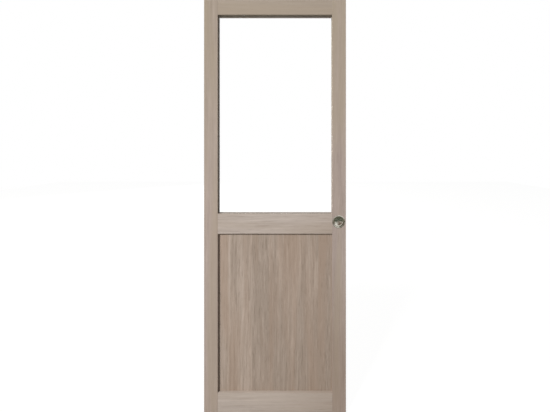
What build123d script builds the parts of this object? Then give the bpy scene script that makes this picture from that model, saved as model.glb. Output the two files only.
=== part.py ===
from build123d import *
import os

# A sliding door leaf, glazed above and panelled below, hung on wheels from a track.
# Millimetres. The front faces -Y, +X is to the right and +Z is up. The origin lies on
# the finished floor, under the middle of the track. At rest the door is closed: the
# leaf stands at the right-hand end of its travel and opens to the left.

# The leaf
leaf_width = 725
leaf_height = 2110
leaf_thickness = 40
floor_gap = 8
travel = 660
stile_width = 70
top_rail_height = 77
lock_rail_height = 102
bottom_rail_height = 102
arris = 1.0
joint_ease = 0.5

# The dowels between rails and stiles
dowel_diameter = 10
dowel_length = 90
dowel_inset = 23
dowel_side_gap = 0.02
dowel_end_gap = 0.8
dowel_chamfer = 1

# The lower panel in its grooves
panel_thickness = 16
panel_groove_depth = 12
panel_side_gap = 0.2
panel_edge_gap = 1.5

# The glass, its tapes and blocks, and the beads behind it
lip_thickness = 12
rebate_width = 12
front_tape_thickness = 2
glass_thickness = 4
rear_tape_thickness = 1
glass_edge_gap = 3
glass_arris = 0.5
tape_inset = 1
setting_block_length = 80
setting_block_inset = 60
bead_rounding = 3
pin_diameter = 1.5
pin_length = 24
pin_head_diameter = 2.6
pin_head_height = 0.8
pin_gap = 0.02
pin_depth = 14
pin_spacing = 240
pin_end_distance = 50

# The flush pull set in the right stile
pull_height = 975
pull_edge_distance = 37
pull_to_glass = 8.5
pull_flange_diameter = 65
pull_mouth_diameter = 54
pull_flange_proud = 1.2
pull_depth = 9
pull_dish = 1.3
pull_sheet = 1.2
pull_draft = 1.5
pull_rounding = 7
pull_fit = 0.2
edge_pull_flange_diameter = 28
edge_pull_mouth_diameter = 15.6
edge_pull_proud = 0.6
edge_pull_depth = 11
edge_pull_wall = 1.2

# The hanger brackets, bolts and nuts on the leaf's top edge
hanger_distance = 130
bracket_length = 110
bracket_width = 28
bracket_sheet = 3
bracket_rise = 15
bracket_hat_length = 44
bracket_bend = 1.5
bracket_hole_margin = 9
bracket_hole_side = 7
hanger_bolt_diameter = 8
bolt_head_across_flats = 13
bolt_head_height = 5.3
lock_nut_height = 6
bolt_slot_gap = 0.3
bolt_side_gap = 0.04
bolt_top_inset = 1.5
hex_chamfer = 0.6
wood_screw_diameter = 4
wood_screw_head_diameter = 8.4
wood_screw_length = 40
wood_screw_tip = 6
wood_screw_gap = 0.02
screw_seat_gap = 0.1

# The carriages and their wheels
carriage_length = 72
carriage_width = 12
carriage_height = 18
carriage_rounding = 3
axle_half_spacing = 22
axle_diameter = 5
axle_end_chamfer = 0.5
wheel_diameter = 24
wheel_width = 6
wheel_bore_gap = 0.01
wheel_web_recess = 1.2
wheel_rim = 3
wheel_hub_diameter = 9.6
wheel_edge = 0.6
wheel_ledge_gap = 0.3
bush_wall = 1.2
bush_flange_height = 0.8
bush_flange_wall = 1.4
bush_running_gap = 0.05
bush_press_gap = 0.01
hub_gap = 0.3

# The track
track_overhang = 10
track_gap = 24
track_width = 36
track_height = 36
track_wall = 2.5
track_top_wall = 3
track_flange = 3
track_slot = 14
track_lip_width = 1.5
track_lip_height = 1.5
track_edge = 0.5
wheel_lip_gap = 0.5
fixing_hole_diameter = 5.5
fixing_hole_count = 6
fixing_end_distance = 52.5

# The end stops in the track
stop_length = 36
stop_height = 22
stop_side_gap = 0.3
stop_lip_gap = 0.5
stop_edge = 1
buffer_diameter = 11
buffer_thickness = 6
buffer_stem_diameter = 5
buffer_stem_length = 6
buffer_gap = 0.3
buffer_stem_gap = 0.02
grub_screw_diameter = 5
grub_screw_spacing = 14
grub_screw_gap = 0.02
grub_socket = 2.5
grub_socket_depth = 3

# The floor guide
guide_base_length = 60
guide_base_width = 30
guide_base_thickness = 3
guide_base_corner = 6
guide_fin_length = 28
guide_fin_thickness = 5.4
guide_fin_engagement = 11
guide_fin_edge = 1
guide_running_gap = 0.3
guide_hole_spacing = 44
guide_hole_diameter = 4.5
guide_hole_countersink = 8.6
guide_groove_depth = 16

# The leaf at rest
leaf_centre = travel / 2
leaf_left = leaf_centre - leaf_width / 2
leaf_right = leaf_centre + leaf_width / 2
leaf_front = -leaf_thickness / 2
leaf_back = leaf_thickness / 2
leaf_bottom = floor_gap
leaf_top = floor_gap + leaf_height
field_left = leaf_left + stile_width
field_right = leaf_right - stile_width
panel_field_bottom = leaf_bottom + bottom_rail_height
glass_field_top = leaf_top - top_rail_height

# The lock rail stands beside the pull, which keeps clear of the glass above it.
pull_x = leaf_right - pull_edge_distance
pull_z = leaf_bottom + pull_height
glass_field_bottom = pull_z + pull_flange_diameter / 2 + pull_to_glass
panel_field_top = glass_field_bottom - lock_rail_height

# The depths of the glazing, front to back
lip_back = leaf_front + lip_thickness
glass_front = lip_back + front_tape_thickness
glass_back = glass_front + glass_thickness
bead_front = glass_back + rear_tape_thickness

# The heights above the leaf
web_top = leaf_top + bracket_rise
web_bottom = web_top - bracket_sheet
track_bottom = leaf_top + track_gap
track_top = track_bottom + track_height
ledge = track_bottom + track_flange
axle_height = ledge + wheel_ledge_gap + wheel_diameter / 2
carriage_bottom = axle_height - carriage_height / 2
carriage_top = axle_height + carriage_height / 2
hangers = {"left": leaf_left + hanger_distance, "right": leaf_right - hanger_distance}

overcut = 1.0


def block(x, y, z, mode=Mode.ADD):
    """A block between the low and high values of x, y and z, in the part being built."""
    low, high = zip(*(sorted(pair) for pair in (x, y, z)))
    centre = [(a + b) / 2 for a, b in zip(low, high)]
    size = [b - a for a, b in zip(low, high)]
    with Locations(tuple(centre)):
        Box(*size, mode=mode)


def rod(start, direction, diameter, length, mode=Mode.ADD):
    """A round rod from start along direction, or a drilled hole with Mode.SUBTRACT."""
    foot = (Align.CENTER, Align.CENTER, Align.MIN)
    with Locations(Plane(origin=start, z_dir=direction)):
        Cylinder(diameter / 2, length, align=foot, mode=mode)


def write(built, name):
    """Names the finished piece and writes its file."""
    built.part.label = name
    export_step(built.part, f"parts/{name}.step")


os.makedirs("parts", exist_ok=True)

# The leaf's frame. Rails butt between the stiles; the dowels lie in the middle of the
# thickness, so that they pass between the two flush pulls.
rails = {
    "bottom_rail": (leaf_bottom, panel_field_bottom),
    "lock_rail": (panel_field_top, glass_field_bottom),
    "top_rail": (glass_field_top, leaf_top),
}
dowel_heights = [
    height
    for low, high in rails.values()
    for height in (low + dowel_inset, high - dowel_inset)
]
groove_half = panel_thickness / 2 + panel_side_gap
guide_groove_half = guide_fin_thickness / 2 + guide_running_gap


def spread(low, high, end_distance, spacing):
    """Places between low and high, evenly apart by no more than spacing."""
    first, last = low + end_distance, high - end_distance
    steps = max(1, round((last - first) / spacing))
    return [first + (last - first) * i / steps for i in range(steps + 1)]


pin_y = bead_front + pin_depth
pins = [
    ((x, pin_y, height), (side, 0, 0))
    for height in spread(glass_field_bottom, glass_field_top, pin_end_distance, pin_spacing)
    for x, side in ((field_left, -1), (field_right, 1))
]
pins += [
    ((x, pin_y, height), (0, 0, side))
    for x in spread(field_left, field_right, pin_end_distance, pin_spacing)
    for height, side in ((glass_field_bottom, -1), (glass_field_top, 1))
]


def make_stile(side):
    """The left stile for side -1, the right one for side 1."""
    inner = field_left if side < 0 else field_right
    outer = leaf_left if side < 0 else leaf_right
    with BuildPart() as stile:
        block((inner, outer), (leaf_front, leaf_back), (leaf_bottom, leaf_top))
        fillet(stile.edges().filter_by(Axis.Z), arris)
        for end in (stile.faces().sort_by(Axis.Z)[0], stile.faces().sort_by(Axis.Z)[-1]):
            chamfer(end.edges(), joint_ease)
        block(
            (inner - side * overcut, inner + side * rebate_width),
            (lip_back, leaf_back + overcut),
            (glass_field_bottom - rebate_width, glass_field_top + rebate_width),
            mode=Mode.SUBTRACT,
        )
        block(
            (inner - side * overcut, inner + side * panel_groove_depth),
            (-groove_half, groove_half),
            (panel_field_bottom - panel_groove_depth, panel_field_top + panel_groove_depth),
            mode=Mode.SUBTRACT,
        )
        guide_groove((inner - side * overcut, outer + side * overcut))
        for height in dowel_heights:
            rod(
                (inner, 0, height),
                (side, 0, 0),
                dowel_diameter + 2 * dowel_side_gap,
                dowel_length / 2 + dowel_end_gap,
                mode=Mode.SUBTRACT,
            )
        for start, direction in pins:
            if direction[0] == side:
                pin_hole(start, direction)
        if side > 0:
            for face, direction in ((leaf_front, 1), (leaf_back, -1)):
                rod(
                    (pull_x, face, pull_z),
                    (0, direction, 0),
                    pull_body_diameter + 2 * pull_fit,
                    pull_depth + pull_sheet + pull_fit,
                    mode=Mode.SUBTRACT,
                )
            rod(
                (leaf_right, 0, pull_z),
                (-1, 0, 0),
                edge_pull_body_diameter + 2 * pull_fit,
                edge_pull_depth + edge_pull_wall + pull_fit,
                mode=Mode.SUBTRACT,
            )
    return stile


def guide_groove(x):
    """The groove along the leaf's bottom edge that the floor guide runs in."""
    block(
        x,
        (-guide_groove_half, guide_groove_half),
        (leaf_bottom - overcut, leaf_bottom + guide_groove_depth),
        mode=Mode.SUBTRACT,
    )


def pin_hole(start, direction):
    """A hole into the frame for the part of a pin that passes the bead."""
    depth = pin_length - rebate_width + pin_gap
    place = [s + d * rebate_width for s, d in zip(start, direction)]
    rod(place, direction, pin_diameter + 2 * pin_gap, depth, mode=Mode.SUBTRACT)


def make_rail(low, high):
    """A rail from low to high, with the rebates and grooves that its place asks for."""
    with BuildPart() as rail:
        block((field_left, field_right), (leaf_front, leaf_back), (low, high))
        fillet(rail.edges().filter_by(Axis.X), arris)
        for end in (rail.faces().sort_by(Axis.X)[0], rail.faces().sort_by(Axis.X)[-1]):
            chamfer(end.edges(), joint_ease)
        along = (field_left - overcut, field_right + overcut)
        for edge, side in ((glass_field_bottom, -1), (glass_field_top, 1)):
            if edge in (low, high):
                block(
                    along,
                    (lip_back, leaf_back + overcut),
                    (edge - side * overcut, edge + side * rebate_width),
                    mode=Mode.SUBTRACT,
                )
                for start, direction in pins:
                    if direction[2] == side:
                        pin_hole(start, direction)
        for edge, side in ((panel_field_bottom, -1), (panel_field_top, 1)):
            if edge in (low, high):
                block(
                    along,
                    (-groove_half, groove_half),
                    (edge - side * overcut, edge + side * panel_groove_depth),
                    mode=Mode.SUBTRACT,
                )
        if low == leaf_bottom:
            guide_groove(along)
        if high == leaf_top:
            for x, y in bracket_holes():
                rod(
                    (x, y, leaf_top),
                    (0, 0, -1),
                    wood_screw_diameter + 2 * wood_screw_gap,
                    wood_screw_length - bracket_sheet + wood_screw_gap,
                    mode=Mode.SUBTRACT,
                )
        for height in (low + dowel_inset, high - dowel_inset):
            for x, direction in ((field_left, 1), (field_right, -1)):
                rod(
                    (x, 0, height),
                    (direction, 0, 0),
                    dowel_diameter + 2 * dowel_side_gap,
                    dowel_length / 2 + dowel_end_gap,
                    mode=Mode.SUBTRACT,
                )
    return rail


def bracket_holes():
    """The places of the screws in both hanger brackets, seen from above."""
    reach = bracket_length / 2 - bracket_hole_margin
    for centre in hangers.values():
        for along in (-1, 1):
            for across in (-1, 1):
                stagger = reach if across < 0 else reach - bracket_hole_side
                yield centre + along * stagger, across * bracket_hole_side


pull_body_diameter = pull_mouth_diameter + 2 * pull_sheet
edge_pull_body_diameter = edge_pull_mouth_diameter + 2 * edge_pull_wall

write(make_stile(-1), "left_stile")
write(make_stile(1), "right_stile")
for name, (low, high) in rails.items():
    write(make_rail(low, high), name)

with BuildPart() as rail_dowels:
    for joint, direction in ((field_left, 1), (field_right, -1)):
        for height in dowel_heights:
            start = (joint - direction * dowel_length / 2, 0, height)
            rod(start, (direction, 0, 0), dowel_diameter, dowel_length)
    chamfer(rail_dowels.edges().filter_by(GeomType.CIRCLE), dowel_chamfer)
write(rail_dowels, "rail_dowels")

# The panel stands on the floor of the bottom rail's groove.
with BuildPart() as lower_panel:
    reach = panel_groove_depth - panel_edge_gap
    block(
        (field_left - reach, field_right + reach),
        (-panel_thickness / 2, panel_thickness / 2),
        (panel_field_bottom - panel_groove_depth, panel_field_top + reach),
    )
write(lower_panel, "lower_panel")

# The glass stands on two blocks in the lock rail's rebate.
glass_reach = rebate_width - glass_edge_gap
with BuildPart() as glass_pane:
    block(
        (field_left - glass_reach, field_right + glass_reach),
        (glass_front, glass_back),
        (glass_field_bottom - glass_reach, glass_field_top + glass_reach),
    )
    chamfer(glass_pane.edges(), glass_arris)
write(glass_pane, "glass_pane")

with BuildPart() as glass_setting_blocks:
    for start, direction in ((field_left, 1), (field_right, -1)):
        near = start + direction * setting_block_inset
        block(
            (near, near + direction * setting_block_length),
            (glass_front, glass_back),
            (glass_field_bottom - rebate_width, glass_field_bottom - glass_reach),
        )
write(glass_setting_blocks, "glass_setting_blocks")


def make_tape(y):
    """A ring of glazing tape between the two depths y, just inside the sight line."""
    with BuildPart() as tape:
        for reach, mode in ((glass_reach, Mode.ADD), (tape_inset, Mode.SUBTRACT)):
            block(
                (field_left - reach, field_right + reach),
                y,
                (glass_field_bottom - reach, glass_field_top + reach),
                mode=mode,
            )
    return tape


write(make_tape((lip_back, glass_front)), "front_glazing_tape")
write(make_tape((glass_back, bead_front)), "rear_glazing_tape")

# The beads fill the rebate behind the glass, flush with the back, and meet in mitres.
with BuildPart() as bead_ring:
    for reach, mode in ((rebate_width, Mode.ADD), (0, Mode.SUBTRACT)):
        block(
            (field_left - reach, field_right + reach),
            (bead_front, leaf_back),
            (glass_field_bottom - reach, glass_field_top + reach),
            mode=mode,
        )
    back_face = bead_ring.faces().sort_by(Axis.Y)[-1]
    fillet(back_face.inner_wires()[0].edges(), bead_rounding)
    for start, direction in pins:
        hole = pin_diameter + 2 * pin_gap
        seat = pin_head_diameter + 2 * pin_gap
        rod(start, direction, hole, rebate_width, mode=Mode.SUBTRACT)
        rod(start, direction, seat, pin_head_height + pin_gap, mode=Mode.SUBTRACT)


def corners(reach):
    """The corners of the glazed field, reach outside it, from the lower left onwards."""
    left, right = field_left - reach, field_right + reach
    low, high = glass_field_bottom - reach, glass_field_top + reach
    return [(left, low), (right, low), (right, high), (left, high)]


inner_corners, outer_corners = corners(0), corners(rebate_width)
for index, name in enumerate(("bead_bottom", "bead_right", "bead_top", "bead_left")):
    after = (index + 1) % 4
    with BuildPart() as bead:
        add(bead_ring.part)
        with BuildSketch(Plane.XZ):
            with BuildLine():
                Polyline(
                    outer_corners[index],
                    outer_corners[after],
                    inner_corners[after],
                    inner_corners[index],
                    close=True,
                )
            make_face()
        extrude(amount=leaf_thickness, both=True, mode=Mode.INTERSECT)
    write(bead, name)

with BuildPart() as bead_pins:
    for start, direction in pins:
        rod(start, direction, pin_diameter, pin_length)
        rod(start, direction, pin_head_diameter, pin_head_height)
write(bead_pins, "bead_pins")

# The flush pulls: pressed cups with a dished floor and a flat crowned flange, one on
# each face.
with BuildPart() as front_pull_cup:
    side_view = Plane(origin=(pull_x, leaf_front, pull_z), x_dir=(1, 0, 0), z_dir=(0, 0, 1))
    with BuildSketch(side_view) as profile:
        with BuildLine():
            mouth, rim = pull_mouth_diameter / 2, pull_flange_diameter / 2
            floor = mouth - pull_draft
            crown = ((mouth + rim) / 2, -pull_flange_proud)
            inside = (floor, pull_depth - pull_dish)
            outside = (floor + pull_sheet, pull_depth - pull_dish + pull_sheet)
            TangentArc((0, pull_depth), inside, tangent=(1, 0))
            Line(inside, (mouth, 0))
            ThreePointArc((mouth, 0), crown, (rim, 0))
            Polyline((rim, 0), (mouth + pull_sheet, 0), outside)
            TangentArc((0, pull_depth + pull_sheet), outside, tangent=(1, 0))
            Line((0, pull_depth + pull_sheet), (0, pull_depth))
        make_face()
        for corner, radius in ((inside, pull_rounding), (outside, pull_rounding + pull_sheet)):
            fillet(profile.vertices().sort_by_distance(corner)[0], radius)
    revolve(axis=Axis((pull_x, leaf_front, pull_z), (0, 1, 0)))
write(front_pull_cup, "front_pull_cup")

with BuildPart() as rear_pull_cup:
    add(mirror(front_pull_cup.part, about=Plane.XZ, mode=Mode.PRIVATE))
write(rear_pull_cup, "rear_pull_cup")

# The finger pull in the leaf's closing edge: a turned cup with a thin flange.
with BuildPart() as edge_finger_pull:
    with BuildSketch(Plane(origin=(leaf_right, 0, pull_z), x_dir=(0, 0, 1), z_dir=(0, 1, 0))):
        with BuildLine():
            mouth, rim = edge_pull_mouth_diameter / 2, edge_pull_flange_diameter / 2
            body = edge_pull_body_diameter / 2
            back = edge_pull_depth + edge_pull_wall
            FilletPolyline(
                (0, -edge_pull_depth),
                (mouth, -edge_pull_depth),
                (mouth, edge_pull_proud),
                radius=edge_pull_wall,
            )
            Polyline((mouth, edge_pull_proud), (rim - edge_pull_proud, edge_pull_proud), (rim, 0))
            Polyline((rim, 0), (body, 0), (body, -back), (0, -back), (0, -edge_pull_depth))
        make_face()
    revolve(axis=Axis((leaf_right, 0, pull_z), (1, 0, 0)))
write(edge_finger_pull, "edge_finger_pull")

# The hanger brackets, folded from strip, and their screws into the top rail.
for side, centre in hangers.items():
    with BuildPart() as bracket:
        with BuildSketch(Plane.XZ):
            with BuildLine():
                low, high = leaf_top + bracket_sheet / 2, web_top - bracket_sheet / 2
                reach, hat = bracket_length / 2, (bracket_hat_length - bracket_sheet) / 2
                FilletPolyline(
                    (centre - reach, low),
                    (centre - hat, low),
                    (centre - hat, high),
                    (centre + hat, high),
                    (centre + hat, low),
                    (centre + reach, low),
                    radius=bracket_bend + bracket_sheet / 2,
                )
            trace(line_width=bracket_sheet)
        extrude(amount=bracket_width / 2, both=True)
        slot = hanger_bolt_diameter + 2 * bolt_slot_gap
        with BuildSketch(Plane.XY.offset(web_bottom - overcut)):
            with Locations((centre, 0)):
                Circle(slot / 2)
            with Locations((centre, -bracket_width / 2)):
                Rectangle(slot, bracket_width)
        extrude(amount=bracket_sheet + 2 * overcut, mode=Mode.SUBTRACT)
        for x, y in bracket_holes():
            if abs(x - centre) < bracket_length / 2:
                with Locations((x, y, leaf_top + bracket_sheet)):
                    CounterSinkHole(
                        wood_screw_diameter / 2 + screw_seat_gap,
                        wood_screw_head_diameter / 2 + screw_seat_gap,
                        depth=bracket_sheet + overcut,
                        counter_sink_angle=90,
                    )
    write(bracket, f"{side}_hanger_bracket")

with BuildPart() as hanger_bracket_screws:
    for x, y in bracket_holes():
        with BuildSketch(Plane(origin=(x, y, leaf_top + bracket_sheet), x_dir=(1, 0, 0), z_dir=(0, -1, 0))):
            with BuildLine():
                head, shank = wood_screw_head_diameter / 2, wood_screw_diameter / 2
                Polyline(
                    (0, 0),
                    (head, 0),
                    (shank, shank - head),
                    (shank, wood_screw_tip - wood_screw_length),
                    (0, -wood_screw_length),
                    close=True,
                )
            make_face()
        revolve(axis=Axis((x, y, 0), (0, 0, 1)))
write(hanger_bracket_screws, "hanger_bracket_screws")

# The hanging bolts: the head bears up against the bracket, the nut locks it from above.
for side, centre in hangers.items():
    with BuildPart() as bolt:
        with BuildSketch(Plane((centre, 0, web_bottom - bolt_head_height))):
            RegularPolygon(bolt_head_across_flats / 2, 6, major_radius=False)
        extrude(amount=bolt_head_height)
        chamfer(bolt.faces().sort_by(Axis.Z)[0].edges(), hex_chamfer)
        rod(
            (centre, 0, web_bottom),
            (0, 0, 1),
            hanger_bolt_diameter,
            carriage_top - bolt_top_inset - web_bottom,
        )
    write(bolt, f"{side}_hanger_bolt")

with BuildPart() as hanger_lock_nuts:
    for centre in hangers.values():
        with BuildSketch(Plane((centre, 0, web_top))):
            RegularPolygon(bolt_head_across_flats / 2, 6, major_radius=False)
            Circle(hanger_bolt_diameter / 2 + bolt_side_gap, mode=Mode.SUBTRACT)
        extrude(amount=lock_nut_height)
write(hanger_lock_nuts, "hanger_lock_nuts")

# The carriages: a cast block on two axles that turn in flanged bushes.
bush_diameter = axle_diameter + 2 * bush_running_gap + 2 * bush_wall
bush_flange_diameter = bush_diameter + 2 * bush_flange_wall
bush_face = carriage_width / 2 + bush_flange_height
axle_places = [centre + side * axle_half_spacing for centre in hangers.values() for side in (-1, 1)]

for side, centre in hangers.items():
    with BuildPart() as carriage:
        block(
            (centre - carriage_length / 2, centre + carriage_length / 2),
            (-carriage_width / 2, carriage_width / 2),
            (carriage_bottom, carriage_top),
        )
        fillet(carriage.edges().filter_by(Axis.Y), carriage_rounding)
        rod(
            (centre, 0, carriage_bottom - overcut),
            (0, 0, 1),
            hanger_bolt_diameter + 2 * bolt_side_gap,
            carriage_height + 2 * overcut,
            mode=Mode.SUBTRACT,
        )
        for way in (-1, 1):
            rod(
                (centre + way * axle_half_spacing, -carriage_width / 2 - overcut, axle_height),
                (0, 1, 0),
                bush_diameter + 2 * bush_press_gap,
                carriage_width + 2 * overcut,
                mode=Mode.SUBTRACT,
            )
    write(carriage, f"{side}_carriage_body")

with BuildPart() as carriage_bushes:
    for x in axle_places:
        rod((x, -bush_face, axle_height), (0, 1, 0), bush_diameter, 2 * bush_face)
        rod((x, -bush_face, axle_height), (0, 1, 0), bush_flange_diameter, bush_flange_height)
        rod((x, bush_face, axle_height), (0, -1, 0), bush_flange_diameter, bush_flange_height)
        rod(
            (x, -bush_face - overcut, axle_height),
            (0, 1, 0),
            axle_diameter + 2 * bush_running_gap,
            2 * bush_face + 2 * overcut,
            mode=Mode.SUBTRACT,
        )
write(carriage_bushes, "carriage_bushes")

# The wheels run on the ledges beside the track's lips. Each pair is pressed on one axle.
wheel_inner = track_slot / 2 + track_lip_width + wheel_lip_gap
wheel_outer = wheel_inner + wheel_width
axle_half_length = wheel_outer - axle_end_chamfer
for index, x in enumerate(axle_places, start=1):
    with BuildPart() as axle:
        rod((x, -axle_half_length, axle_height), (0, 1, 0), axle_diameter, 2 * axle_half_length)
        chamfer(axle.edges().filter_by(GeomType.CIRCLE), axle_end_chamfer)
    write(axle, f"axle_{index}")
    for name, side in (("front", -1), ("rear", 1)):
        with BuildPart() as wheel:
            with BuildSketch(Plane(origin=(x, 0, axle_height), x_dir=(0, 0, 1), z_dir=(side, 0, 0))):
                with BuildLine():
                    bore = axle_diameter / 2 + wheel_bore_gap
                    hub, tread = wheel_hub_diameter / 2, wheel_diameter / 2
                    web = tread - wheel_rim
                    hub_start = bush_face + hub_gap
                    Polyline(
                        (bore, -hub_start),
                        (hub, -hub_start),
                        (hub, -wheel_inner - wheel_web_recess),
                        (web, -wheel_inner - wheel_web_recess),
                        (web, -wheel_inner),
                        (tread - wheel_edge, -wheel_inner),
                        (tread, -wheel_inner - wheel_edge),
                        (tread, -wheel_outer + wheel_edge),
                        (tread - wheel_edge, -wheel_outer),
                        (web, -wheel_outer),
                        (web, -wheel_outer + wheel_web_recess),
                        (hub, -wheel_outer + wheel_web_recess),
                        (hub, -wheel_outer),
                        (bore, -wheel_outer),
                        close=True,
                    )
                make_face()
            revolve(axis=Axis((x, 0, axle_height), (0, 1, 0)))
        write(wheel, f"wheel_{index}_{name}")

# The track: an extrusion open below, with a lip beside each wheel ledge.
track_length = leaf_width + travel + 2 * track_overhang
track_inner = track_width / 2 - track_wall
with BuildPart() as top_track:
    with BuildSketch(Plane.YZ):
        with BuildLine():
            slot = track_slot / 2
            lip = slot + track_lip_width
            Polyline(
                (0, track_top),
                (track_width / 2, track_top),
                (track_width / 2, track_bottom),
                (slot, track_bottom),
                (slot, ledge + track_lip_height),
                (lip, ledge + track_lip_height),
                (lip, ledge),
                (track_inner, ledge),
                (track_inner, track_top - track_top_wall),
                (0, track_top - track_top_wall),
                close=True,
            )
        make_face()
        mirror(about=Plane.YZ)
    extrude(amount=track_length / 2, both=True)
    outside = top_track.edges().filter_by(Axis.X).group_by(Axis.Y)
    fillet(outside[0] + outside[-1], track_edge)
    pitch = (track_length - 2 * fixing_end_distance) / (fixing_hole_count - 1)
    with BuildSketch(Plane.XY.offset(track_top)):
        with GridLocations(pitch, 0, fixing_hole_count, 1):
            Circle(fixing_hole_diameter / 2)
    extrude(amount=-track_top_wall - overcut, mode=Mode.SUBTRACT)
write(top_track, "top_track")

# The end stops rest on the ledges. Their grub screws press up against the track's top.
stop_half = track_inner - stop_side_gap
lip_clear = track_slot / 2 + track_lip_width + stop_lip_gap
right_contact = hangers["right"] + carriage_length / 2 + buffer_gap
left_contact = hangers["left"] - carriage_length / 2 - travel - buffer_gap
stops = {"left": (left_contact, -1), "right": (right_contact, 1)}


def stop_start(contact, way):
    """The stop's end that faces the carriage."""
    return contact + way * buffer_thickness


def grub_places(contact, way):
    """The places along the track of a stop's two grub screws."""
    middle = stop_start(contact, way) + way * stop_length / 2
    return [middle + side * grub_screw_spacing / 2 for side in (-1, 1)]


for name, (contact, way) in stops.items():
    start = stop_start(contact, way)
    with BuildPart() as stop:
        block((start, start + way * stop_length), (-stop_half, stop_half), (ledge, ledge + stop_height))
        chamfer(stop.faces().sort_by(Axis.Z)[-1].edges(), stop_edge)
        block(
            (start - way * overcut, start + way * (stop_length + overcut)),
            (-lip_clear, lip_clear),
            (ledge - overcut, ledge + track_lip_height + stop_lip_gap),
            mode=Mode.SUBTRACT,
        )
        rod(
            (start, 0, axle_height),
            (way, 0, 0),
            buffer_stem_diameter + 2 * buffer_stem_gap,
            buffer_stem_length + buffer_stem_gap,
            mode=Mode.SUBTRACT,
        )
        for x in grub_places(contact, way):
            rod(
                (x, 0, ledge),
                (0, 0, 1),
                grub_screw_diameter + 2 * grub_screw_gap,
                stop_height + overcut,
                mode=Mode.SUBTRACT,
            )
    write(stop, f"{name}_end_stop")

with BuildPart() as end_stop_buffers:
    for contact, way in stops.values():
        rod((contact, 0, axle_height), (way, 0, 0), buffer_diameter, buffer_thickness)
        start = (stop_start(contact, way), 0, axle_height)
        rod(start, (way, 0, 0), buffer_stem_diameter, buffer_stem_length)
write(end_stop_buffers, "end_stop_buffers")

with BuildPart() as end_stop_screws:
    for contact, way in stops.values():
        for x in grub_places(contact, way):
            low = ledge + track_lip_height + stop_lip_gap
            rod((x, 0, low), (0, 0, 1), grub_screw_diameter, track_top - track_top_wall - low)
            with BuildSketch(Plane((x, 0, low))):
                RegularPolygon(grub_socket / 2, 6, major_radius=False)
            extrude(amount=grub_socket_depth, mode=Mode.SUBTRACT)
write(end_stop_screws, "end_stop_screws")

# The floor guide, moulded in one piece: a screwed base and a fin that stays in the groove.
with BuildPart() as floor_guide:
    with BuildSketch():
        RectangleRounded(guide_base_length, guide_base_width, guide_base_corner)
    extrude(amount=guide_base_thickness)
    with BuildSketch(Plane.XY.offset(guide_base_thickness)):
        SlotOverall(guide_fin_length, guide_fin_thickness)
    extrude(amount=floor_gap + guide_fin_engagement - guide_base_thickness)
    top = floor_guide.faces().sort_by(Axis.Z)[-1]
    chamfer(top.edges(), guide_fin_edge)
    with Locations(Plane.XY.offset(guide_base_thickness)):
        with GridLocations(guide_hole_spacing, 0, 2, 1):
            CounterSinkHole(
                guide_hole_diameter / 2,
                guide_hole_countersink / 2,
                depth=guide_base_thickness + overcut,
                counter_sink_angle=90,
            )
write(floor_guide, "floor_guide")
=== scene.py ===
import math

import bmesh
import bpy
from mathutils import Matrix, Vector


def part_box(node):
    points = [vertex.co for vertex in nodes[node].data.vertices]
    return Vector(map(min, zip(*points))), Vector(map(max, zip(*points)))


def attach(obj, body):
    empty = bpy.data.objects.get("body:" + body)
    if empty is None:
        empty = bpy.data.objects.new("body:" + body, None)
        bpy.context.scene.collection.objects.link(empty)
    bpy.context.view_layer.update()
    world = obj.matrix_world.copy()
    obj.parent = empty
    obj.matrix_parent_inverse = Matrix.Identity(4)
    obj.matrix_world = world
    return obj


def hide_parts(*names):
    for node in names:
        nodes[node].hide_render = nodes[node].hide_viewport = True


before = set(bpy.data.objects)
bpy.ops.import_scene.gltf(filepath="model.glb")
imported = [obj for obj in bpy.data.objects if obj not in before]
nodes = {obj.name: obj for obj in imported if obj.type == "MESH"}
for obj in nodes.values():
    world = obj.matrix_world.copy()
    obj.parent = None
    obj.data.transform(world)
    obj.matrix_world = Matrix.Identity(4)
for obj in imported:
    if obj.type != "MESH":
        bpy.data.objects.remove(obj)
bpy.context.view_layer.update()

# The stiles are the two uprights of the leaf, planed from straight-grained oak that was
# bleached and then finished with a matt lacquer. The rails butt against their inner
# edges, which are grooved for the panel and rebated for the glass.


def linear(code):
    """An sRGB hex colour as the linear colour that the shaders take, with an alpha of 1."""
    parts = [int(code[i : i + 2], 16) / 255 for i in (1, 3, 5)]
    low, slope, bend, gamma = 0.04045, 12.92, 0.055, 2.4
    return (*(c / slope if c <= low else ((c + bend) / (1 + bend)) ** gamma for c in parts), 1.0)


def every(millimetres):
    """The scale of a pattern whose marks are this size."""
    return 1000 / millimetres


def add_node(tree, kind, inputs=(), **settings):
    """Adds a node with its settings, and sets or links each of its named or numbered inputs."""
    node = tree.nodes.new("ShaderNode" + kind)
    for name, value in settings.items():
        setattr(node, name, value)
    for name, value in dict(inputs).items():
        if isinstance(value, bpy.types.NodeSocket):
            tree.links.new(value, node.inputs[name])
        else:
            node.inputs[name].default_value = value
    return node.outputs


def new_material(name):
    """An empty material and its node tree."""
    material = bpy.data.materials.new(name)
    material.use_nodes = True
    material.node_tree.nodes.clear()
    return material, material.node_tree


def dress(material, *names):
    """Gives CAD nodes this material all over."""
    for name in names:
        nodes[name].data.materials.clear()
        nodes[name].data.materials.append(material)


# The numbers of a colour Mix node's factor, of its two colours and of its result.
FACTOR, FIRST, SECOND, MIXED = 0, 6, 7, 2
ALONG_X = (0, math.radians(90), 0)
UPRIGHT = (0, 0, 0)


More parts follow.
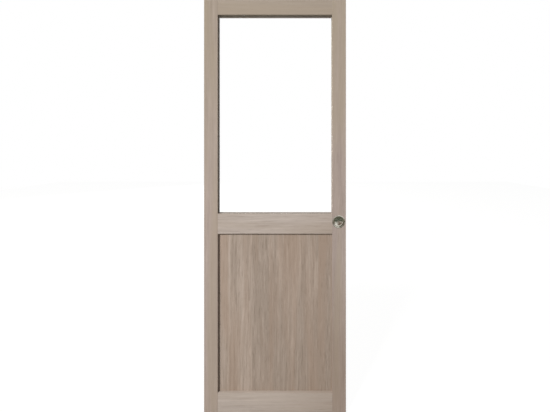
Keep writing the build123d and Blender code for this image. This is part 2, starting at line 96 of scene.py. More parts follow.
def bleached_oak(
    name, light, dark, blush, figure, heart, seed, grain=UPRIGHT, lean=0, joints=(), fades=()
):
    """Oak as cut from a log: growth rings round the heart, then bands, streaks, strokes and
    vessels along the grain. Bleaching leaves its tones close together, and under the matt
    lacquer they show by their colour rather than by their shine."""
    material, tree = new_material(name)
    place = add_node(tree, "TexCoord")["Object"]
    apart = add_node(tree, "SeparateXYZ", {0: place})
    # The grain runs along Z of the log, whose heart is the Z axis.
    turn = (grain[0] + lean, grain[1], grain[2])
    offset = (-heart[0], -heart[1], seed)
    log = add_node(tree, "Mapping", {"Vector": place, "Rotation": turn, "Location": offset})[0]
    # Veneer lies in leaves side by side, and each is cut from its own place in the log.
    leaf = 0
    for joint in joints:
        past = add_node(tree, "Math", {0: apart["X"], 1: joint}, operation="GREATER_THAN")[0]
        leaf = add_node(tree, "Math", {0: leaf, 1: past})[0]
    shift = add_node(tree, "CombineXYZ", {"X": leaf, "Y": leaf, "Z": leaf})[0]
    step = (0.011, 0.017, 3.1)
    log = add_node(tree, "VectorMath", {0: shift, 1: step, 2: log}, operation="MULTIPLY_ADD")[0]
    # The grain wanders by a centimetre or two in the length of the door.
    bends = (every(200), every(200), every(666.7))
    slow = add_node(tree, "VectorMath", {0: log, 1: bends}, operation="MULTIPLY")[0]
    wander = add_node(tree, "TexNoise", {"Vector": slow, "Scale": 1, "Detail": 2})["Color"]
    sway = (0.025, 0.025, 0)
    log = add_node(tree, "VectorMath", {0: wander, 1: sway, 2: log}, operation="MULTIPLY_ADD")[0]
    # Rings of oak are 2 to 3 mm wide. They are drawn at 11 mm, or the render loses them.
    across = add_node(tree, "VectorMath", {0: log, 1: (1, 1, 0)}, operation="MULTIPLY")[0]
    radius = add_node(tree, "VectorMath", {0: across}, operation="LENGTH")["Value"]
    rings = add_node(
        tree,
        "TexNoise",
        {"W": radius, "Scale": every(11.11), "Detail": 3, "Roughness": 0.6},
        noise_dimensions="1D",
    )[0]
    # The vessels are 0.3 mm wide in the wood itself, and drawn wider for the same reason.
    layers = {}
    for layer, width, length in (
        ("band", 62.5, 909.1),
        ("streak", 15.385, 312.5),
        ("stroke", 5.556, 111.1),
        ("vessel", 2.381, 40),
    ):
        scale = (every(width), every(width), every(length))
        stretched = add_node(tree, "VectorMath", {0: log, 1: scale}, operation="MULTIPLY")[0]
        layers[layer] = add_node(tree, "TexNoise", {"Vector": stretched, "Scale": 1, "Detail": 2})
    # Each leaf of veneer is a little darker than the one on its left: partly the leaves' own tone, and
    # partly painted shade, as the key light from the left falls off across the panel.
    band, streak = layers["band"][0], layers["streak"][0]
    tone = 0
    for part, share in ((rings, 0.25), (band, 0.4), (streak, 0.35), (leaf, -0.055)):
        tone = add_node(tree, "Math", {0: part, 1: share, 2: tone}, operation="MULTIPLY_ADD")[0]
    spread = 0.4 * figure
    tone = add_node(
        tree,
        "MapRange",
        {"Value": tone, "From Min": 0.4, "From Max": 0.6, "To Min": 0.5 - spread, "To Max": 0.5 + spread},
    )[0]
    # Only the lightest and darkest parts of the stroke noise show, as separate strokes.
    for layer, start, full, share in (
        ("stroke", 0.59, 0.66, 0.4),
        ("stroke", 0.41, 0.34, -0.45),
        ("vessel", 0.56, 0.7, -0.4),
    ):
        mark = add_node(
            tree,
            "MapRange",
            {"Value": layers[layer][0], "From Min": start, "From Max": full, "To Max": share * figure},
        )[0]
        tone = add_node(tree, "Math", {0: tone, 1: mark})[0]
    colour = add_node(tree, "Mix", {FACTOR: tone, FIRST: dark, SECOND: light}, data_type="RGBA")[MIXED]
    hue = add_node(tree, "SeparateColor", {0: layers["band"]["Color"]})["Green"]
    hue = add_node(tree, "MapRange", {"Value": hue, "From Min": 0.42, "From Max": 0.62, "To Max": 0.5})[0]
    colour = add_node(tree, "Mix", {FACTOR: hue, FIRST: colour, SECOND: blush}, data_type="RGBA")[MIXED]
    # Along its length a board turns more brown or more grey between given places: partly its own tone,
    # and partly painted shade where the light falls off towards the right and the bottom.
    along = apart["X" if grain == ALONG_X else "Z"]
    for start, end, depth, changed in fades:
        change = add_node(
            tree, "MapRange", {"Value": along, "From Min": start, "From Max": end, "To Max": depth}
        )[0]
        colour = add_node(
            tree, "Mix", {FACTOR: change, FIRST: colour, SECOND: changed}, data_type="RGBA"
        )[MIXED]
    # The vessels are sunk by a tenth of a millimetre, and duller than the wood round them.
    sunk = add_node(
        tree, "MapRange", {"Value": layers["vessel"][0], "From Min": 0.54, "From Max": 0.66}
    )[0]
    level = add_node(tree, "Math", {0: 1, 1: sunk}, operation="SUBTRACT")[0]
    surface = add_node(tree, "Bump", {"Height": level, "Strength": 0.6, "Distance": 0.0001})[0]
    roughness = add_node(tree, "MapRange", {"Value": sunk, "To Min": 0.56, "To Max": 0.78})[0]
    wood = add_node(
        tree,
        "BsdfPrincipled",
        {
            "Base Color": colour,
            "Roughness": roughness,
            "Specular IOR Level": 0.06,
            "IOR": 1.5,
            "Normal": surface,
        },
    )[0]
    add_node(tree, "OutputMaterial", {"Surface": wood})
    return material


# The colours that boards fade towards. The brown one also serves as painted shade.
browner_and_shaded, greyer = linear("#8a7664"), linear("#8a8066")
stile_oak = {
    "light": linear("#bcada3"),
    "dark": linear("#94857e"),
    "blush": linear("#a89a88"),
    "figure": 0.4,
}
# Both stiles turn greyer and darker towards the top. Low down they turn more brown and darker: painted
# shade, strongest on the right stile, as the key light falls off towards the bottom right.
left_fades = ((1.3, 2.1, 0.33, greyer), (1.25, 0.95, 0.09, browner_and_shaded), (0.3, 0.0, 0.08, browner_and_shaded))
right_fades = ((1.2, 2.1, 0.27, greyer), (0.8, 0.3, 0.42, browner_and_shaded))
for side, heart, seed, fades in (
    ("left", (-0.22, 0.16), 1.7, left_fades),
    ("right", (0.93, 0.14), 7.3, right_fades),
):
    oak = bleached_oak(f"{side} stile oak", heart=heart, seed=seed, fades=fades, **stile_oak)
    dress(oak, f"{side}_stile")

# The rails are the three cross pieces, of the same oak with the grain lying level. The lock
# rail and the bottom rail came out of the bleach a little lighter and pinker than the stiles.
rail_oak = {
    "light": linear("#c6bab1"),
    "dark": linear("#9b8e84"),
    "blush": linear("#b3a598"),
    "figure": 0.5,
    "grain": ALONG_X,
}
# Towards the right the rails turn more brown and darker: painted shade, as the key light from the left
# falls off across the door.
for rail, heart, seed, depth in (("lock", (1.2, 0.12), 12.9, 0.22), ("bottom", (-0.2, 0.1), 21.3, 0.3)):
    fades = ((0.35, 0.62, depth, browner_and_shaded),)
    oak = bleached_oak(f"{rail} rail oak", heart=heart, seed=seed, fades=fades, **rail_oak)
    dress(oak, f"{rail}_rail")

# The top rail is given darker, more brown colours and a plainer figure than the other rails.
plain_oak = {
    "light": linear("#b0a396"),
    "dark": linear("#928577"),
    "blush": linear("#a29484"),
    "figure": 0.3,
    "grain": ALONG_X,
}
dress(bleached_oak("top rail oak", heart=(2.3, 0.1), seed=3.1, **plain_oak), "top_rail")

# The dowels pin the rails to the stiles. They are turned from beech, which shows short
# flecks in an even, warm ground, and they are hidden once the leaf is glued up.
beech, tree = new_material("turned beech")
place = add_node(tree, "TexCoord")["Object"]
scale = (every(11.11), every(1.111), every(1.111))
stretched = add_node(tree, "VectorMath", {0: place, 1: scale}, operation="MULTIPLY")[0]
fleck = add_node(tree, "TexNoise", {"Vector": stretched, "Scale": 1, "Detail": 2})[0]
fleck = add_node(tree, "MapRange", {"Value": fleck, "From Min": 0.4, "From Max": 0.7})[0]
ground, grain = linear("#d2b083"), linear("#b98f60")
colour = add_node(tree, "Mix", {FACTOR: fleck, FIRST: ground, SECOND: grain}, data_type="RGBA")[MIXED]
wood = add_node(tree, "BsdfPrincipled", {"Base Color": colour, "Roughness": 0.6})[0]
add_node(tree, "OutputMaterial", {"Surface": wood})
dress(beech, "rail_dowels")

# The lower panel is a board faced with crown-cut oak veneer, let loose into grooves in
# the frame. The leaves of veneer stand side by side, the middle one with arched rings.
dress(
    bleached_oak(
        "panel oak veneer",
        light=linear("#c1b0a3"),
        dark=linear("#8a7c6f"),
        blush=linear("#a08a79"),
        figure=0.5,
        heart=(0.2686, 0.035),
        seed=5.2,
        lean=math.radians(2),
        joints=(0.211, 0.465, 0.553),
        # Below its middle the panel turns more brown and darker: painted shade, as the light falls off
        # towards the bottom.
        fades=((0.6, 0.1, 0.15, browner_and_shaded),),
    ),
    "lower_panel",
)

# The pane is clear toughened float glass. Seen through its face it has almost no colour,
# while its ground edges look sea green, as light comes a long way through the glass.
glass, tree = new_material("clear float glass")
face = add_node(tree, "SeparateXYZ", {0: add_node(tree, "NewGeometry")["Normal"]})["Y"]
face = add_node(tree, "Math", {0: face}, operation="ABSOLUTE")[0]
sea_green, white = linear("#7fae9b"), linear("#ffffff")
tint = add_node(tree, "Mix", {FACTOR: face, FIRST: sea_green, SECOND: white}, data_type="RGBA")[MIXED]
place = add_node(tree, "TexCoord")["Object"]
wave = add_node(tree, "TexNoise", {"Vector": place, "Scale": every(250), "Detail": 1})[0]
ripple = add_node(tree, "Bump", {"Height": wave, "Strength": 0.1, "Distance": 0.00005})[0]
pane = add_node(
    tree,
    "BsdfPrincipled",
    {
        "Base Color": tint,
        "Roughness": 0.0,
        "IOR": 1.5,
        "Transmission Weight": 1.0,
        "Normal": ripple,
    },
)[0]
# The light of lamps, and what the wood round the pane gathers, comes straight through it.
rays = add_node(tree, "LightPath")
straight = add_node(
    tree, "Math", {0: rays["Is Shadow Ray"], 1: rays["Is Diffuse Ray"]}, use_clamp=True
)[0]
clear = add_node(tree, "BsdfTransparent", {"Color": linear("#f4f8f6")})[0]
pane = add_node(tree, "MixShader", {0: straight, 1: pane, 2: clear})[0]
add_node(tree, "OutputMaterial", {"Surface": pane})
dress(glass, "glass_pane")

# A tape of closed-cell foam lies on each side of the glass, pressed in dry under the beads.
# Its cells, under a millimetre across, make it dull and finely dimpled.
foam, tree = new_material("closed-cell foam tape")
place = add_node(tree, "TexCoord")["Object"]
cells = add_node(tree, "TexVoronoi", {"Vector": place, "Scale": every(0.6667)})["Distance"]
# The hollows of the cells are painted darker than their walls: painted shade in the dimples.
shaded_hollow, wall = linear("#3b3937"), linear("#5d5a56")
colour = add_node(tree, "Mix", {FACTOR: cells, FIRST: shaded_hollow, SECOND: wall}, data_type="RGBA")[MIXED]
dimples = add_node(tree, "Bump", {"Height": cells, "Strength": 0.4, "Distance": 0.0002})[0]
tape = add_node(tree, "BsdfPrincipled", {"Base Color": colour, "Roughness": 0.9, "Normal": dimples})[0]
add_node(tree, "OutputMaterial", {"Surface": tape})
dress(foam, "front_glazing_tape", "rear_glazing_tape")

# Two blocks moulded from polypropylene carry the glass in the lock rail's rebate. They have
# a soft gloss, and their blue is a little uneven where the plastic flowed.
block_plastic, tree = new_material("moulded polypropylene")
place = add_node(tree, "TexCoord")["Object"]
flow = add_node(tree, "TexNoise", {"Vector": place, "Scale": every(3.333), "Detail": 2})[0]
deep, pale = linear("#4a6a96"), linear("#5878a4")
colour = add_node(tree, "Mix", {FACTOR: flow, FIRST: deep, SECOND: pale}, data_type="RGBA")[MIXED]
block = add_node(tree, "BsdfPrincipled", {"Base Color": colour, "Roughness": 0.45})[0]
add_node(tree, "OutputMaterial", {"Surface": block})
dress(block_plastic, "glass_setting_blocks")

# The beads hold the glass from behind. They are oak like the frame, rounded towards the
# glass and mitred at the corners, and headed steel pins hold them.
upright_oak = bleached_oak("upright bead oak", heart=(0.05, 0.3), seed=31.0, **stile_oak)
dress(upright_oak, "bead_left", "bead_right")
level_oak = bleached_oak("level bead oak", heart=(1.5, 0.3), seed=35.0, grain=ALONG_X, **stile_oak)
dress(level_oak, "bead_top", "bead_bottom")


def metal(name, light, dark, roughness, marks, mark_depth):
    """A bare or plated metal whose colour and shine drift a little. Its marks have a size in
    millimetres along each of X, Y and Z, and a depth in metres."""
    material, tree = new_material(name)
    place = add_node(tree, "TexCoord")["Object"]
    drift = add_node(tree, "TexNoise", {"Vector": place, "Scale": every(40), "Detail": 3})[0]
    scale = tuple(every(size) for size in marks)
    stretched = add_node(tree, "VectorMath", {0: place, 1: scale}, operation="MULTIPLY")[0]
    mark = add_node(tree, "TexNoise", {"Vector": stretched, "Scale": 1, "Detail": 3})[0]
    blend = add_node(tree, "Math", {0: mark, 1: 0.25, 2: drift}, operation="MULTIPLY_ADD")[0]
    blend = add_node(tree, "MapRange", {"Value": blend, "From Min": 0.45, "From Max": 0.8})[0]
    colour = add_node(tree, "Mix", {FACTOR: blend, FIRST: dark, SECOND: light}, data_type="RGBA")[MIXED]
    least, most = roughness
    shine = add_node(
        tree,
        "MapRange",
        {"Value": mark, "From Min": 0.3, "From Max": 0.7, "To Min": least, "To Max": most},
    )[0]
    surface = add_node(tree, "Bump", {"Height": mark, "Strength": 0.5, "Distance": mark_depth})[0]
    body = add_node(
        tree,
        "BsdfPrincipled",
        {"Base Color": colour, "Metallic": 1.0, "Roughness": shine, "Normal": surface},
    )[0]
    add_node(tree, "OutputMaterial", {"Surface": body})
    return material


# Bright zinc plate: a cool, faintly blue sheen with a soft, cloudy brightness.
zinc_plate = metal(
    "bright zinc plate",
    light=linear("#c3c8cd"),
    dark=linear("#a3a9b0"),
    roughness=(0.24, 0.4),
    marks=(2, 2, 2),
    mark_depth=0.00002,
)
dress(zinc_plate, "bead_pins", "end_stop_screws")

# The flush pulls are cups pressed from stainless steel and polished, one let into each
# face of the right stile. Their flat flanges lie on the wood, and they are glued in.


def middle_of(node):
    """The middle of a CAD node's box."""
    low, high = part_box(node)
    return (low + high) / 2


def from_axis(tree, place, centre):
    """How far a place lies from the axis through a centre that runs from front to back."""
    flat = add_node(tree, "VectorMath", {0: place, 1: (1, 0, 1)}, operation="MULTIPLY")[0]
    axis = (centre.x, 0, centre.z)
    return add_node(tree, "VectorMath", {0: flat, 1: axis}, operation="DISTANCE")["Value"]


# Polished stainless steel mirrors the room, a little warm in colour. The buffing marks run
# round the cup, nine to the millimetre, and handling has dulled it in smudges.
polished_steel, tree = new_material("polished stainless steel")
place = add_node(tree, "TexCoord")["Object"]
radius = from_axis(tree, place, middle_of("front_pull_cup"))
buffing = add_node(
    tree, "TexNoise", {"W": radius, "Scale": every(0.1111), "Detail": 2}, noise_dimensions="1D"
)[0]
smudge = add_node(tree, "TexNoise", {"Vector": place, "Scale": every(7.143), "Detail": 3})[0]
shine = add_node(
    tree,
    "MapRange",
    {"Value": smudge, "From Min": 0.35, "From Max": 0.7, "To Min": 0.07, "To Max": 0.2},
)[0]
dull, bright = linear("#c6c2b6"), linear("#d8d5cb")
colour = add_node(tree, "Mix", {FACTOR: smudge, FIRST: dull, SECOND: bright}, data_type="RGBA")[MIXED]
rub = add_node(tree, "Bump", {"Height": buffing, "Strength": 0.15, "Distance": 0.000004})[0]
steel = add_node(
    tree, "BsdfPrincipled", {"Base Color": colour, "Metallic": 1.0, "Roughness": shine, "Normal": rub}
)[0]
add_node(tree, "OutputMaterial", {"Surface": steel})
dress(polished_steel, "edge_finger_pull")


def stand_in(name, mesh, material, slot, *replaced):
    """A piece of the leaf that shows in place of CAD nodes, smooth but for its sharp edges."""
    data = bpy.data.meshes.new(name)
    mesh.to_mesh(data)
    mesh.free()
    if "custom_normal" in data.attributes:
        data.attributes.remove(data.attributes["custom_normal"])
    data.materials.append(material)
    data.shade_smooth()
    data.set_sharp_from_angle(angle=math.radians(35))
    piece = bpy.data.objects.new(name, data)
    bpy.context.scene.collection.objects.link(piece)
    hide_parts(*replaced)
    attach(piece, "leaf")


# Each cup's floor is a shallow dish. In its middle the facets meet in points that lie on
# each other, and they are joined here so that the polish runs across without a spot.
for side in ("front", "rear"):
    mesh = bmesh.new()
    mesh.from_mesh(nodes[f"{side}_pull_cup"].data)
    bmesh.ops.remove_doubles(mesh, verts=mesh.verts, dist=0.00001)
    bmesh.ops.dissolve_degenerate(mesh, edges=mesh.edges, dist=0.000001)
    stand_in(f"{side}_dished_cup", mesh, polished_steel, "polished_steel", f"{side}_pull_cup")

# The hangers: a bracket folded from steel strip and plated with zinc stands at each end
# of the top rail, with a height-setting bolt and its lock nut, and four wood screws.
dress(zinc_plate, "left_hanger_bracket", "right_hanger_bracket")
across_flats, head_height, bevel_start, bevel_angle = 0.013, 0.0053, 0.95, math.radians(30)
thread_diameter, thread_pitch, thread_depth, nut_clearance = 0.008, 0.00125, 0.0006, 0.00004

# The points of a ring, by their turn: a multiple of six, so that a hexagon has its corners.
ROUND = 24
turns = [math.tau * i / ROUND for i in range(ROUND)]


def ring(centre, height, reach, rise=lambda turn: 0):
    """A ring of points round a vertical axis. At each turn, reach gives the radius and rise
    how far the point lies above the height."""
    x, y = centre
    return [(x + reach(t) * math.cos(t), y + reach(t) * math.sin(t), height + rise(t)) for t in turns]


def threaded(centre, low, high, core, crest, pitch):
    """The rings of a threaded shank. The ridge fades out over the last turn at each end."""
    rows_a_turn = 6
    rows = round((high - low) / pitch * rows_a_turn)
    rings = []
    for i in range(rows + 1):
        height = low + (high - low) * i / rows
        fade = min(1, (height - low) / pitch, (high - height) / pitch)

        def reach(turn, height=height, fade=fade):
            ridge = 1 - abs(2 * ((height / pitch - turn / math.tau) % 1) - 1)
            return core + (crest - core) * ridge * fade

        rings.append(ring(centre, height, reach))
    return rings


def bevelled_hex(centre, inner, outer, bore=None):
    """The rings of a hexagon head or nut from height inner to outer, bevelled at outer.
    With a bore it is a nut, bevelled at both ends, and its rings close into a loop."""
    half = across_flats / 2
    flat = bevel_start * half
    up = 1 if outer > inner else -1

    def hexagon(turn):
        """The radius of the hexagon, which has two of its corners on X."""
        sixth = math.tau / 6
        return half / math.cos(turn % sixth - sixth / 2)

    def edge(height, way):
        """The line where a bevel cuts the sides. At the corners it lies farthest in."""
        return ring(
            centre, height, hexagon, lambda turn: -way * (hexagon(turn) - flat) * math.tan(bevel_angle)
        )

    end = [edge(outer, up), ring(centre, outer, lambda turn: flat)]
    if bore is None:
        return [ring(centre, inner, hexagon), *end]
    start = [ring(centre, inner, lambda turn: flat), edge(inner, -up)]
    hole = [ring(centre, outer, lambda turn: bore), ring(centre, inner, lambda turn: bore)]
    return [*start, *end, *hole]


def skin(name, stacks, *replaced):
    """A piece plated with zinc, from stacks of rings. Each stack closes into a loop or is
    capped at its ends."""
    mesh = bmesh.new()
    for rings, looped in stacks:
        rows = [[mesh.verts.new(point) for point in row] for row in rings]
        pairs = list(zip(rows, rows[1:])) + ([(rows[-1], rows[0])] if looped else [])
        for lower, upper in pairs:
            for i in range(ROUND):
                after = (i + 1) % ROUND
                mesh.faces.new((lower[i], lower[after], upper[after], upper[i]))
        if not looped:
            mesh.faces.new(rows[0][::-1])
            mesh.faces.new(rows[-1])
    bmesh.ops.recalc_face_normals(mesh, faces=mesh.faces)
    stand_in(name, mesh, zinc_plate, "zinc_plated_steel", *replaced)


nut_low, nut_high = (corner.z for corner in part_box("hanger_lock_nuts"))
crest = thread_diameter / 2
nuts = []
for side in ("left", "right"):
    bolt = f"{side}_hanger_bolt"
    low, high = (corner.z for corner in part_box(bolt))
    centre = middle_of(bolt).xy
    head = bevelled_hex(centre, low + head_height, low)
    shank = threaded(centre, low + head_height, high, crest - thread_depth, crest, thread_pitch)
    skin(f"{side}_threaded_bolt", [(head, False), (shank, False)], bolt)
    nuts.append((bevelled_hex(centre, nut_low, nut_high, bore=crest + nut_clearance), True))
skin("bevelled_lock_nuts", nuts, "hanger_lock_nuts")

# The wood screws have countersunk heads with a cross recess, flush with the bracket. In
# each bracket the front two stand farther from its middle than the rear two.
screw_side, front_reach, rear_reach = 0.007, 0.046, 0.039
head_radius, rim_height, rim_bevel = 0.0042, 0.0002, 0.0001
shank_radius, screw_core, screw_pitch = 0.002, 0.0014, 0.0018
arm_reach, arm_half, recess_depth = 0.0023, 0.00045, 0.0022


def cross(turn):
    """The outline of a cross recess: four straight arms."""
    quarter = math.tau / 4
    off_arm = abs((turn + quarter / 2) % quarter - quarter / 2)
    return min(arm_reach, arm_half / max(math.sin(off_arm), 1e-6))


tip, top = (corner.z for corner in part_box("hanger_bracket_screws"))
under_head = top - (head_radius - shank_radius)
screws = []
for side in ("left", "right"):
    middle = middle_of(f"{side}_hanger_bracket")
    for y, reach in ((-screw_side, front_reach), (screw_side, rear_reach)):
        for x in (middle.x - reach, middle.x + reach):
            rings = threaded((x, y), tip, under_head, screw_core, shank_radius, screw_pitch)
            rings.append(ring((x, y), top - rim_height, lambda turn: head_radius))
            rings.append(ring((x, y), top, lambda turn: head_radius - rim_bevel))
            # The recess narrows with its depth.
            for deep, wide in ((0, 1), (0.6, 0.6), (1, 0.1)):
                rings.append(
                    ring((x, y), top - deep * recess_depth, lambda turn, wide=wide: wide * cross(turn))
                )
            screws.append((rings, False))
skin("cross_recess_wood_screws", screws, "hanger_bracket_screws")

# The carriages are small castings of zinc, as they come from the die. The skin of the
# casting is a plain mid grey, with a dull, slightly pebbled shine.
cast_zinc = metal(
    "cast zinc",
    light=linear("#a9abae"),
    dark=linear("#8d9093"),
    roughness=(0.42, 0.6),
    marks=(1.111, 1.111, 1.111),
    mark_depth=0.00005,
)
dress(cast_zinc, "left_carriage_body", "right_carriage_body")

# Two flanged bushes of sintered bronze are pressed into each carriage for the axles. They
# are golden brown, and the powder they are pressed from leaves them finely grained.
bronze = metal(
    "sintered bronze",
    light=linear("#b08a56"),
    dark=linear("#86683c"),
    roughness=(0.4, 0.55),
    marks=(0.4, 0.4, 0.4),
    mark_depth=0.00003,
)
dress(bronze, "carriage_bushes")

# The axles are ground from bright steel, and a wheel is pressed on each end. The grinding
# leaves fine marks round them and a high, even shine.
axle_steel = metal(
    "ground bright steel",
    light=linear("#c9cacc"),
    dark=linear("#b3b5b8"),
    roughness=(0.16, 0.28),
    marks=(16.67, 0.3333, 16.67),
    mark_depth=0.00001,
)

# The wheels are discs turned from nylon, which is off-white and a little translucent. They
# show the rings of the turning tool, and their treads have gone grey from the track.
tread_start, wheel_radius = 0.0112, 0.012
for index in range(1, 5):
    dress(axle_steel, f"axle_{index}")
    nylon, tree = new_material(f"turned nylon {index}")
    place = add_node(tree, "TexCoord")["Object"]
    radius = from_axis(tree, place, middle_of(f"axle_{index}"))
    tread = add_node(
        tree,
        "MapRange",
        {"Value": radius, "From Min": tread_start, "From Max": wheel_radius, "To Max": 0.5},
    )[0]
    clean, soiled = linear("#e9e7df"), linear("#8f8d89")
    colour = add_node(tree, "Mix", {FACTOR: tread, FIRST: clean, SECOND: soiled}, data_type="RGBA")[MIXED]
    turning = add_node(
        tree, "TexNoise", {"W": radius, "Scale": every(0.25), "Detail": 2}, noise_dimensions="1D"
    )[0]
    rings = add_node(tree, "Bump", {"Height": turning, "Strength": 0.3, "Distance": 0.00002})[0]
    disc = add_node(
        tree,
        "BsdfPrincipled",
        {
            "Base Color": colour,
            "Roughness": 0.42,
            "IOR": 1.53,
            "Subsurface Weight": 0.15,
            "Subsurface Scale": 0.002,
            "Normal": rings,
        },
    )[0]
    add_node(tree, "OutputMaterial", {"Surface": disc})
    dress(nylon, f"wheel_{index}_front", f"wheel_{index}_rear")

# The track is an aluminium extrusion, anodised in its natural colour to a satin sheen,
# with fine die lines along its length. Screws through its top hold it to the lintel.
anodised = metal(
    "natural anodised aluminium",
    light=linear("#c6c8ca"),
    dark=linear("#b4b7ba"),
    roughness=(0.32, 0.42),
    marks=(333.3, 1.111, 1.111),
    mark_depth=0.00003,
)
dress(anodised, "top_track")

# The end stops are steel blocks blackened in hot oxide, clamped in the track by grub
# screws. The oxide is a soft black, through which the steel still shines faintly.
black_oxide = metal(
    "black oxide steel",
    light=linear("#3c3c40"),
    dark=linear("#2a2a2d"),
    roughness=(0.4, 0.6),
    marks=(1.429, 1.429, 1.429),
    mark_depth=0.00002,
)
dress(black_oxide, "left_end_stop", "right_end_stop")

# The stops have buffers moulded from black rubber, which meet the carriages. Rubber is dull,
# and a grey bloom comes up through its black.
rubber, tree = new_material("moulded black rubber")
place = add_node(tree, "TexCoord")["Object"]
bloom = add_node(tree, "TexNoise", {"Vector": place, "Scale": every(5), "Detail": 3})[0]
black, grey = linear("#1d1d1d"), linear("#363534")
colour = add_node(tree, "Mix", {FACTOR: bloom, FIRST: black, SECOND: grey}, data_type="RGBA")[MIXED]
buffer = add_node(tree, "BsdfPrincipled", {"Base Color": colour, "Roughness": 0.75})[0]
add_node(tree, "OutputMaterial", {"Surface": buffer})
dress(rubber, "end_stop_buffers")

# The floor guide is moulded in grey nylon and screwed to the floor. It has the fine grain of
# a spark-eroded mould, and scuffs that make its grey uneven.
guide_nylon, tree = new_material("moulded grey nylon")
place = add_node(tree, "TexCoord")["Object"]
grain = add_node(tree, "TexNoise", {"Vector": place, "Scale": every(0.8333), "Detail": 2})[0]
scuff = add_node(tree, "TexNoise", {"Vector": place, "Scale": every(16.67), "Detail": 4})[0]
scuff = add_node(tree, "MapRange", {"Value": scuff, "From Min": 0.45, "From Max": 0.7})[0]
fresh, worn = linear("#5a5b5e"), linear("#707174")
colour = add_node(tree, "Mix", {FACTOR: scuff, FIRST: fresh, SECOND: worn}, data_type="RGBA")[MIXED]
texture = add_node(tree, "Bump", {"Height": grain, "Strength": 0.4, "Distance": 0.00004})[0]
guide = add_node(tree, "BsdfPrincipled", {"Base Color": colour, "Roughness": 0.5, "Normal": texture})[0]
add_node(tree, "OutputMaterial", {"Surface": guide})
dress(guide_nylon, "floor_guide")

# The studio has a pale floor and no walls. The camera sees the floor and the air beyond
# it as white, and the floor keeps the door's shadow.
world = bpy.data.worlds.new("studio air")
bpy.context.scene.world = world
world.use_nodes = True
tree = world.node_tree
tree.nodes.clear()


def seen_directly(tree):
    """1 for rays that show a background: from the camera, off gloss and through glass. It is
    0 for light that a matt surface gathers, also where that comes by way of the glass."""
    rays = add_node(tree, "LightPath")
    seen = add_node(tree, "Math", {0: rays["Is Camera Ray"], 1: rays["Is Glossy Ray"]})[0]
    seen = add_node(tree, "Math", {0: seen, 1: rays["Is Transmission Ray"]}, use_clamp=True)[0]
    matt = rays["Diffuse Depth"]
    return add_node(tree, "Math", {0: seen, 1: matt}, operation="SUBTRACT", use_clamp=True)[0]


ambient = 0.24
strength = add_node(
    tree, "MapRange", {"Value": seen_directly(tree), "To Min": ambient, "To Max": 1}
)[0]
air = add_node(tree, "Background", {"Color": white, "Strength": strength})[0]
add_node(tree, "OutputWorld", {"Surface": air})


def card(name, start, end, material):
    """A flat sheet of the studio, level or upright, between two opposite corners."""
    (x0, y0, z0), (x1, y1, z1) = start, end
    corners = [(x0, y0, z0), (x1, y1, z0), (x1, y1, z1), (x0, y0, z1)]
    if z0 == z1:
        corners = [(x0, y0, z0), (x1, y0, z0), (x1, y1, z0), (x0, y1, z0)]
    data = bpy.data.meshes.new(name)
    data.from_pydata(corners, [], [(0, 1, 2, 3)])
    data.materials.append(material)
    sheet = bpy.data.objects.new(name, data)
    bpy.context.scene.collection.objects.link(sheet)
    return sheet


# Painted pale and mottled over half a metre. Where it is seen directly, most of what shows
# is white light of its own, and the rest is paint, which takes the shadow.
floor_reach, white_share, white_strength = 9.0, 0.8, 1.19
floor_paint, tree = new_material("pale floor paint")
place = add_node(tree, "TexCoord")["Object"]
mottle = add_node(tree, "TexNoise", {"Vector": place, "Scale": every(500), "Detail": 3})[0]
dark, light = linear("#a3a29f"), linear("#adaca9")
colour = add_node(tree, "Mix", {FACTOR: mottle, FIRST: dark, SECOND: light}, data_type="RGBA")[MIXED]
paint = add_node(tree, "BsdfDiffuse", {"Color": colour})[0]
glow = add_node(tree, "Emission", {"Color": white, "Strength": white_strength})[0]
share = add_node(tree, "Math", {0: seen_directly(tree), 1: white_share}, operation="MULTIPLY")[0]
floor = add_node(tree, "MixShader", {0: share, 1: paint, 2: glow})[0]
add_node(tree, "OutputMaterial", {"Surface": floor})
card("studio_floor", (-floor_reach, -floor_reach, 0), (floor_reach, floor_reach, 0), floor_paint)
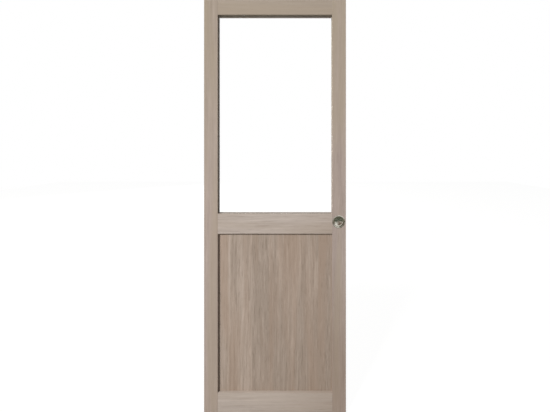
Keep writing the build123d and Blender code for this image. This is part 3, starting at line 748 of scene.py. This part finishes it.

# These are painted reflections: sheets that glow in flat colours of their own, in front of the door and
# behind it, and show only in polish. The front pull mirrors them dark above and brown at the lower right,
# with the white air between them as a crescent.
near, far, left, right, high, floor_gap = -0.15, -3.2, -1.3, 3.0, 3.4, 0.002
for name, code, start, end in (
    ("floor_card", "#62685c", (left, far, floor_gap), (right, near, floor_gap)),
    ("low_card", "#666c60", (left, far, 0), (right, far, 0.17)),
    ("near_card", "#7c6c5e", (0.663, -0.07, 0.94), (0.70, -0.07, 0.966)),
    ("right_card", "#5e4a38", (right, far, 0), (right, near, 1.4)),
    ("left_card", "#5e5145", (left, far, 0), (left, near, high)),
    ("rear_floor_card", "#70766a", (left, -far, floor_gap), (right, -near, floor_gap)),
    ("rear_side_card", "#5e5145", (right, -far, 0), (right, -near, high)),
    ("high_card", "#5a564a", (left, -2.5, high), (0.6, near, high)),
):
    painted_reflection, tree = new_material(f"{name} cloth")
    shade = add_node(tree, "Emission", {"Color": linear(code), "Strength": 1.0})[0]
    add_node(tree, "OutputMaterial", {"Surface": shade})
    sheet = card(name, start, end, painted_reflection)
    sheet.visible_camera = sheet.visible_diffuse = sheet.visible_shadow = False
    sheet.visible_transmission = sheet.visible_volume_scatter = False


def lamp(name, place, size, power):
    """A soft square lamp that points at the middle of the leaf."""
    leaf_middle = Vector((0.33, 0, 1.06))
    light = bpy.data.lights.new(name, "AREA")
    light.shape = "SQUARE"
    light.size = size
    light.energy = power
    holder = bpy.data.objects.new(name, light)
    holder.location = place
    holder.rotation_euler = (leaf_middle - Vector(place)).to_track_quat("-Z", "Y").to_euler()
    bpy.context.scene.collection.objects.link(holder)
    # Like a photographer's crossed filters, this keeps the lamps' glare off the metal.
    holder.visible_glossy = False


# The key lamp stands high on the left. It gives the recesses their narrow shadows.
lamp("key_lamp", place=(-7.1, -9.2, 8.6), size=2.2, power=2150)
lamp("rear_lamp", place=(-4.0, 7.0, 3.0), size=2.0, power=480)

# The camera looks straight at the leaf, which fills the picture's height and is cut by less
# than a pixel above and below. Its image plane stands parallel to the door, so the uprights
# stay upright.
picture_width, picture_height, cut_above, cut_below = 550, 412, 0.4, 0.8
leaf_low, leaf_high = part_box("left_stile")[0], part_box("right_stile")[1]
camera_distance, camera_x, camera_z = 1.3, 0.43, 1.36
camera_data = bpy.data.cameras.new("camera")
camera = bpy.data.objects.new("camera", camera_data)
bpy.context.scene.collection.objects.link(camera)
camera.location = (camera_x, leaf_low.y - camera_distance, camera_z)
camera.rotation_euler = (math.radians(90), 0, 0)
pixels_per_metre = (picture_height + cut_above + cut_below) / (leaf_high.z - leaf_low.z)
camera_data.sensor_width = 36.0
camera_data.lens = camera_data.sensor_width * camera_distance * pixels_per_metre / picture_width
middle_x = (leaf_low.x + leaf_high.x) / 2
middle_z = leaf_high.z - (picture_height / 2 + cut_above) / pixels_per_metre
camera_data.shift_x = (middle_x - camera_x) * pixels_per_metre / picture_width
camera_data.shift_y = (middle_z - camera_z) * pixels_per_metre / picture_width
bpy.context.scene.camera = camera
bpy.context.scene.view_settings.view_transform = "Standard"
